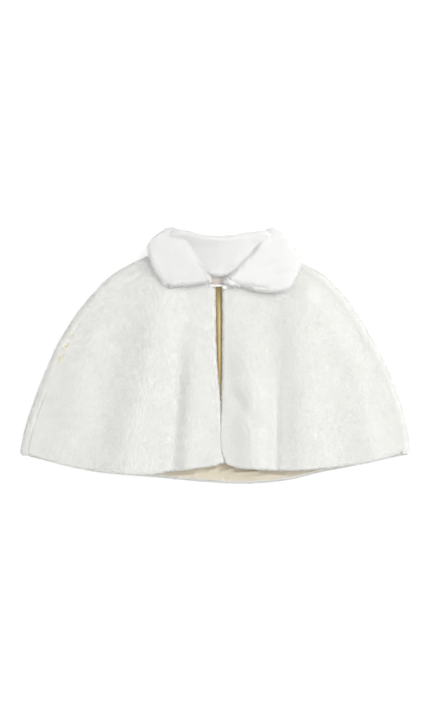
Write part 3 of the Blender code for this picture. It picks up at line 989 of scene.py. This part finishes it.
def build_collar(plush):
    """Both falls, the band and the back of the collar as one plush body, with the density of its pile."""
    s = np.linspace(0, 1, BAND_AROUND)
    band = wall_mesh("band", smooth(BAND_SEAM)(s), smooth(BAND_TOP)(s), BAND_SAG)
    edge = smooth(BACK_FALL_TOP)(s)
    foot = edge * (1, 1, 0) + (0, -BACK_FALL_SWAY, BACK_FALL_FOOT)
    work = bmesh.new()
    for mesh in (fall_mesh("right"), fall_mesh("left"), band, wall_mesh("back_fall", foot, edge, 0.0)):
        work.from_mesh(mesh)
    joined = bpy.data.meshes.new("collar_forms")
    work.to_mesh(joined)
    work.free()
    forms = put("collar_forms", joined)
    whole = forms.modifiers.new("Whole", "REMESH")
    whole.mode = "VOXEL"
    whole.voxel_size = COLLAR_VOXEL * MM
    soft = forms.modifiers.new("Soft", "SMOOTH")
    soft.factor = 0.5
    soft.iterations = COLLAR_ROUNDS
    graph = bpy.context.evaluated_depsgraph_get()
    mesh = bpy.data.meshes.new_from_object(forms.evaluated_get(graph))
    bpy.data.objects.remove(forms)
    mesh.name = "fur_collar"
    mesh.materials.clear()
    collar = add_piece("fur_collar", mesh, plush)
    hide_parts("collar_upper", "collar_under")
    points, normals, _ = surface_of(collar)
    store(collar, "parting", np.zeros(len(points)))
    shown = np.where((normals[:, 2] > COLLAR_UNDERSIDE) | (points[:, 1] > COLLAR_BACK), 1.0, 0.0)
    for groove in GROOVES.values():
        shown *= 1 - GROOVE_BARE * in_groove(points[:, :2], groove)
    return collar, shown


# Pile


def surface_of(piece):
    """A piece's points in millimetres, its normals and its triangles."""
    mesh = piece.data
    mesh.calc_loop_triangles()
    points = np.empty(len(mesh.vertices) * 3, np.float32)
    normals = np.empty(len(mesh.vertices) * 3, np.float32)
    corners = np.empty(len(mesh.loop_triangles) * 3, np.int32)
    mesh.vertices.foreach_get("co", points)
    mesh.vertex_normals.foreach_get("vector", normals)
    mesh.loop_triangles.foreach_get("vertices", corners)
    points = points.reshape(-1, 3).astype(float) / MM
    return points, normals.reshape(-1, 3).astype(float), corners.reshape(-1, 3)


def add_pile(name, base, density, count, hair, nap, seed, material):
    """Tapered tufts over a plush body, leaning along nap(points), as dense as its points say."""
    random = np.random.default_rng(seed)
    points, normals, corners = surface_of(base)
    a, b, c = (points[corners[:, i]] for i in range(3))
    weight = lengths(np.cross(b - a, c - a)) * density[corners].min(axis=1)
    picked = random.choice(len(corners), count, p=weight / weight.sum())
    shares = random.dirichlet((1.0, 1.0, 1.0), count)

    def mix(values):
        return (values[corners[picked]] * shares[..., None]).sum(axis=1)

    root = mix(points)
    normal = unit(mix(normals))
    flat = unit(np.cross(b - a, c - a))[picked]
    normal = np.where((normal * flat).sum(-1, keepdims=True) < BENT, flat, normal)
    stray = random.normal(0.0, 1.0, (count, 3))
    way = unit(nap(root)) + hair.spread * random.normal(0.0, 1.0, (count, 3))
    way = unit(way - (way * normal).sum(-1, keepdims=True) * normal)
    along = unit(normal * math.cos(hair.lean) + way * math.sin(hair.lean) + HAIR_STRAY * stray)
    length = hair.length * random.uniform(*HAIR_LENGTHS, count)
    aside = unit(np.cross(along, stray))
    other = np.cross(along, aside)
    width = hair.width * random.uniform(*HAIR_WIDTHS, count)
    sunk = root - HAIR_SUNK * hair.width * normal
    feet = []
    lit = []
    for turn in (0.0, 2 * math.pi / 3, 4 * math.pi / 3):
        out = math.cos(turn) * aside + math.sin(turn) * other
        feet.append(sunk + width[:, None] * out)
        lit.append(unit(normal + HAIR_ROUND * out))
    ends = np.stack([*feet, root + length[:, None] * along], axis=1)
    ends[..., 2] = np.maximum(ends[..., 2], HAIR_CLEAR)
    lit = np.stack([*lit, normal], axis=1)
    first = np.arange(count)[:, None] * 4
    faces = np.stack([first + [0, 1, 3], first + [1, 2, 3], first + [2, 0, 3]], axis=1).reshape(-1, 3)
    mesh = make_mesh(name, ends.reshape(-1, 3), faces)
    patches = Uneven(TONE_PATCH, TONE_PATCH_SIZE, seed + 2)
    tone = hair.tone + clouds(root[:, 0], TONE_PATCH_DRAWN * root[:, 1], patches)
    tone = np.clip(tone + random.normal(0, TONE_SPREAD, count), TONE_LOW, TONE_HIGH)
    parting = np.empty(len(points), np.float32)
    base.data.attributes["parting"].data.foreach_get("value", parting)
    turned = PARTED_GOLD * random.uniform(PARTED_FIRST_GOLD, 1.0, count)
    tone[mix(parting[:, None])[:, 0] > turned] = 0.0
    along_hair = np.tile([ROOT_PLACE, ROOT_PLACE, ROOT_PLACE, TIP_PLACE], count)
    place = np.stack([np.repeat(tone, 4), along_hair], axis=1)
    layer = mesh.uv_layers.new(name="OFBake")
    layer.uv.foreach_set("vector", place[faces.ravel()].astype(np.float32).ravel())
    pile = add_piece(name, mesh, material)
    mesh.normals_split_custom_set_from_vertices(lit.reshape(-1, 3).astype(np.float32))
    return pile


def fan(centre):
    """A nap that spreads out from a point in the plan."""
    return lambda points: (points - np.array([*centre, 0.0])) * (1, 1, 0)


# Label and closure


def build_label(tape):
    """A bare woven label whose middle bows up from the lining."""
    across = np.linspace(-0.5, 0.5, 24)
    down = np.linspace(0.5, -0.5, 14)
    x, y = np.meshgrid(across * LABEL_WIDTH + LABEL_MIDDLE.x, down * LABEL_LENGTH + LABEL_MIDDLE.y)
    bow = LABEL_BOW * np.cos(math.pi * across)[None, :]
    top = np.stack([x, y, LABEL_LEVEL + bow + LABEL_RISE * eased(*LABEL_RISING, y)], axis=-1)
    label = add_shell("woven_label", top, top - (0, 0, LABEL_THICKNESS), tape)
    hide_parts("label")


def add_cord(name, paths, radius, material):
    """Round threads or wires along smooth lines, as one mesh."""
    curve = bpy.data.curves.new(name, "CURVE")
    curve.dimensions = "3D"
    curve.bevel_depth = radius * MM
    curve.bevel_resolution = 3
    curve.use_fill_caps = True
    for path in paths:
        line = curve.splines.new("POLY")
        places = smooth(path)(np.linspace(0, 1, 8 * len(path)))
        line.points.add(len(places) - 1)
        for point, place in zip(line.points, places):
            point.co = (*(Vector(place) * MM), 1.0)
    made = put(name, curve)
    mesh = bpy.data.meshes.new_from_object(made.evaluated_get(bpy.context.evaluated_depsgraph_get()))
    bpy.data.objects.remove(made)
    work = bmesh.new()
    work.from_mesh(mesh)
    bmesh.ops.remove_doubles(work, verts=work.verts, dist=1e-6)
    work.to_mesh(mesh)
    work.free()
    mesh.materials.clear()
    return add_piece(name, mesh, material)


def stitches(x, to_x, count, y, half_width, z):
    """Stitches side by side over a sewn end, each an arch across it."""
    turn = np.linspace(0.0, math.pi, STITCH_STEPS)
    lean = np.linspace(-STITCH_LEAN, STITCH_LEAN, STITCH_STEPS)
    over = y + half_width * np.cos(turn)
    up = z + STITCH_HEIGHT * np.sin(turn) - STITCH_SUNK
    return [np.stack([at + lean, over, up], axis=1) for at in np.linspace(x, to_x, count)]


def build_closure(thread):
    """A white hook sewn to the left front, through a thread eye on the right front."""
    z = CLASP_LEVEL
    shank = (
        (17.5, CLASP_Y - 1.6, z - 1.2),
        (13.0, CLASP_Y - 0.6, z - 0.2),
        (8.0, CLASP_Y + 0.3, z),
        (3.8, CLASP_Y + 0.5, z + 0.4),
        (2.2, CLASP_Y + 0.4, z + 1.5),
        (3.8, CLASP_Y + 0.2, z + 2.4),
        (8.4, CLASP_Y - 0.2, z + 2.3),
    )
    sewn = stitches(9.6, 14.0, 5, CLASP_Y - 0.9, 2.2, z)
    hook = add_cord("closure_hook", [shank, *sewn], HOOK_WIRE, thread)
    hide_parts("hook")
    loop = (
        (-6.0, CLASP_Y + 0.8, z - 3.4),
        (-1.0, CLASP_Y + 0.8, z + 0.2),
        (4.2, CLASP_Y + 0.9, z + 1.2),
        (5.6, CLASP_Y + 0.3, z + 1.3),
        (4.2, CLASP_Y - 0.3, z + 1.2),
        (-1.0, CLASP_Y - 0.2, z + 0.2),
        (-6.0, CLASP_Y - 0.2, z - 3.4),
    )
    sewn = stitches(-5.4, -3.0, 3, CLASP_Y + 0.3, 1.3, z - 2.0)
    eye = add_cord("closure_eye", [loop, *sewn], EYE_THREAD, thread)
    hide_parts("eye")


# Stage


def build_stage():
    """A pale floor, soft light mostly from the wearer's left, and a camera straight above."""
    scene = bpy.context.scene
    bpy.ops.mesh.primitive_plane_add(size=FLOOR_SIZE * MM, location=(0.0, 0.0, -FLOOR_DROP * MM))
    floor = bpy.context.object
    floor.name = "floor"
    material, _, _, shader = new_material("pale_floor", 0.9)
    shader.inputs["Base Color"].default_value = (0.96, 0.96, 0.96, 1.0)
    shader.inputs["Emission Color"].default_value = (1.0, 1.0, 1.0, 1.0)
    shader.inputs["Emission Strength"].default_value = 0.15
    floor.data.materials.append(material)

    world = bpy.data.worlds.new("studio")
    scene.world = world
    world.use_nodes = True
    world.node_tree.nodes["Background"].inputs["Color"].default_value = (1.0, 1.0, 1.0, 1.0)
    world.node_tree.nodes["Background"].inputs["Strength"].default_value = 0.84

    def add_light(name, place, size, watts):
        """A soft light at a place in metres, turned to the cape."""
        lamp = bpy.data.lights.new(name, "AREA")
        lamp.shape = "DISK"
        lamp.size = size
        lamp.energy = watts
        holder = put(name, lamp)
        holder.location = place
        holder.rotation_mode = "QUATERNION"
        holder.rotation_quaternion = (-Vector(place)).to_track_quat("-Z", "Y")

    add_light("key", (1.8, 0.9, 1.7), 2.0, 53.0)
    add_light("side_fill", (-2.4, 0.4, 1.2), 1.8, 19.0)
    add_light("front_fill", (0.4, -2.2, 1.2), 1.8, 12.0)

    lens = bpy.data.cameras.new("camera")
    lens.lens = LENS
    lens.sensor_width = SENSOR
    camera = put("camera", lens)
    distance = VIEW_HEIGHT * LENS / SENSOR
    camera.location = Vector((*VIEW_CENTRE, distance + FRONT_LEVEL)) * MM
    scene.camera = camera
    scene.view_settings.view_transform = "Standard"


def main():
    """All pieces of the cape."""
    plush = plush_material("body_plush", (0.795, 0.79, 0.765, 1.0), (0.835, 0.835, 0.815, 1.0))
    # painted light: the collar's plush is the body's plush painted lighter, standing in for the brighter
    # light on the collar
    painted_lighter_plush = plush_material("collar_plush_painted_lighter", (0.90, 0.895, 0.87, 1.0), (0.945, 0.945, 0.93, 1.0))
    pile = pile_material()
    satin = satin_material()
    tape = tape_material()
    thread = thread_material()

    back, back_lining, on_back = build_back(plush, satin)
    right, right_lining, on_right = build_front("right", plush, satin)
    left, left_lining, on_left = build_front("left", plush, satin)
    collar, on_collar = build_collar(painted_lighter_plush)
    build_label(tape)
    build_closure(thread)

    hair = BODY_HAIR
    nap = fan(BODY_NAP_CENTRE)
    pile_right = add_pile("pile_front_right", right, on_right, FRONT_TUFTS, hair, nap, 21, pile)
    pile_left = add_pile("pile_front_left", left, on_left, FRONT_TUFTS, hair, nap, 22, pile)
    pile_back = add_pile("pile_back", back, on_back, BACK_TUFTS, hair, nap, 23, pile)
    hair = COLLAR_HAIR
    nap = fan(NECK_CENTRE)
    pile_collar = add_pile("pile_collar", collar, on_collar, COLLAR_TUFTS, hair, nap, 24, pile)


build_stage()
main()
